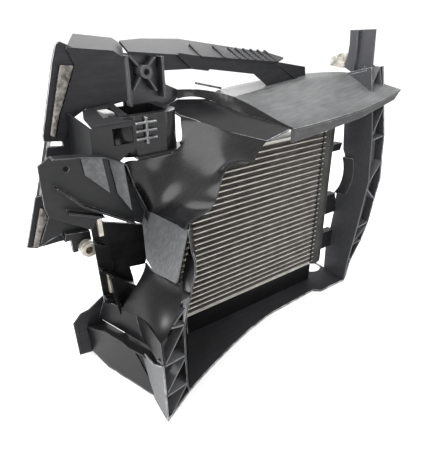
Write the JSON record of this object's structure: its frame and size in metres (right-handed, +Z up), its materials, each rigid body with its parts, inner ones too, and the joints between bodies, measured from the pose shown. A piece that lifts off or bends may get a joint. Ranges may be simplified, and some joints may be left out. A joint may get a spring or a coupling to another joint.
{
  "type": "auxiliary radiator",
  "caption": "Vehicle auxiliary radiator: a tube-and-fin core with round header tanks, held in a black moulded air duct with a top visor, side cowl, outlet and mounting brackets.",
  "frame": {"origin": "centre of the bounding box's underside, on the duct floor's lower face", "axes": "+X along the core tubes, from the outlet side to the curved outer side; +Y from the open mouth through the core to the back; +Z up"},
  "size_m": [0.541, 0.2341, 0.4254],
  "materials": {
    "duct_plastic": "satin moulded black",
    "gloss_cowl": "smooth black with a soft sheen",
    "top_plastic": "satin black, dusty",
    "core_aluminium": "dull brazed",
    "fin_aluminium": "dull corrugated",
    "rubber": "matte",
    "foam": "speckled open-cell foam",
    "bright_steel": "zinc-plated"
  },
  "bodies": {
    "root": {"boss_panel": "duct_plastic", "boss_sleeve": "bright_steel", "bracket_gussets": "duct_plastic", "bracket_post": "duct_plastic", "coolant_inlet_spigot": "core_aluminium", "coolant_outlet_spigot": "core_aluminium", "core_base_baffle": "duct_plastic", "core_fins": "fin_aluminium", "core_locating_pins": "core_aluminium", "core_side_plates": "core_aluminium", "core_top_rail": "duct_plastic", "core_tubes": "core_aluminium", "cup_bracket": "duct_plastic", "deck_hook": "duct_plastic", "duct_floor": "duct_plastic", "fitting_holder": "duct_plastic", "hose_relief_hood": "duct_plastic", "hose_shroud_tower": "duct_plastic", "left_corner_panel": "duct_plastic", "left_cowl": "gloss_cowl", "left_facet_panel": "duct_plastic", "left_header_tank": "core_aluminium", "left_inner_wall": "duct_plastic", "left_ledge": "gloss_cowl", "left_lower_panel": "duct_plastic", "left_recess_panel": "duct_plastic", "left_side_panel": "duct_plastic", "left_side_shelf": "duct_plastic", "left_side_step": "duct_plastic", "left_truss_ribs": "duct_plastic", "lower_core_seat": "duct_plastic", "lower_foam_seal": "foam", "metal_clips": "bright_steel", "outlet_box": "duct_plastic", "outlet_flange": "duct_plastic", "outlet_lower_wall": "duct_plastic", "outlet_side_wall": "duct_plastic", "pressure_fitting": "bright_steel", "rear_deck": "top_plastic", "rear_foot": "duct_plastic", "rear_side_wall": "duct_plastic", "rib_grid": "duct_plastic", "right_header_tank": "core_aluminium", "right_outer_skin": "duct_plastic", "right_truss_ribs": "duct_plastic", "right_wall": "duct_plastic", "rubber_grommets": "rubber", "screw_tab": "duct_plastic", "screw_tab_foot": "duct_plastic", "side_bracket": "duct_plastic", "support_arm": "top_plastic", "tab_foam_pad": "foam", "tank_end_caps": "core_aluminium", "tank_side_brackets": "duct_plastic", "top_visor": "top_plastic", "upper_foam_seal": "foam", "visor_step_wall": "gloss_cowl", "window_bracket": "duct_plastic"}
  },
  "joints": []
}
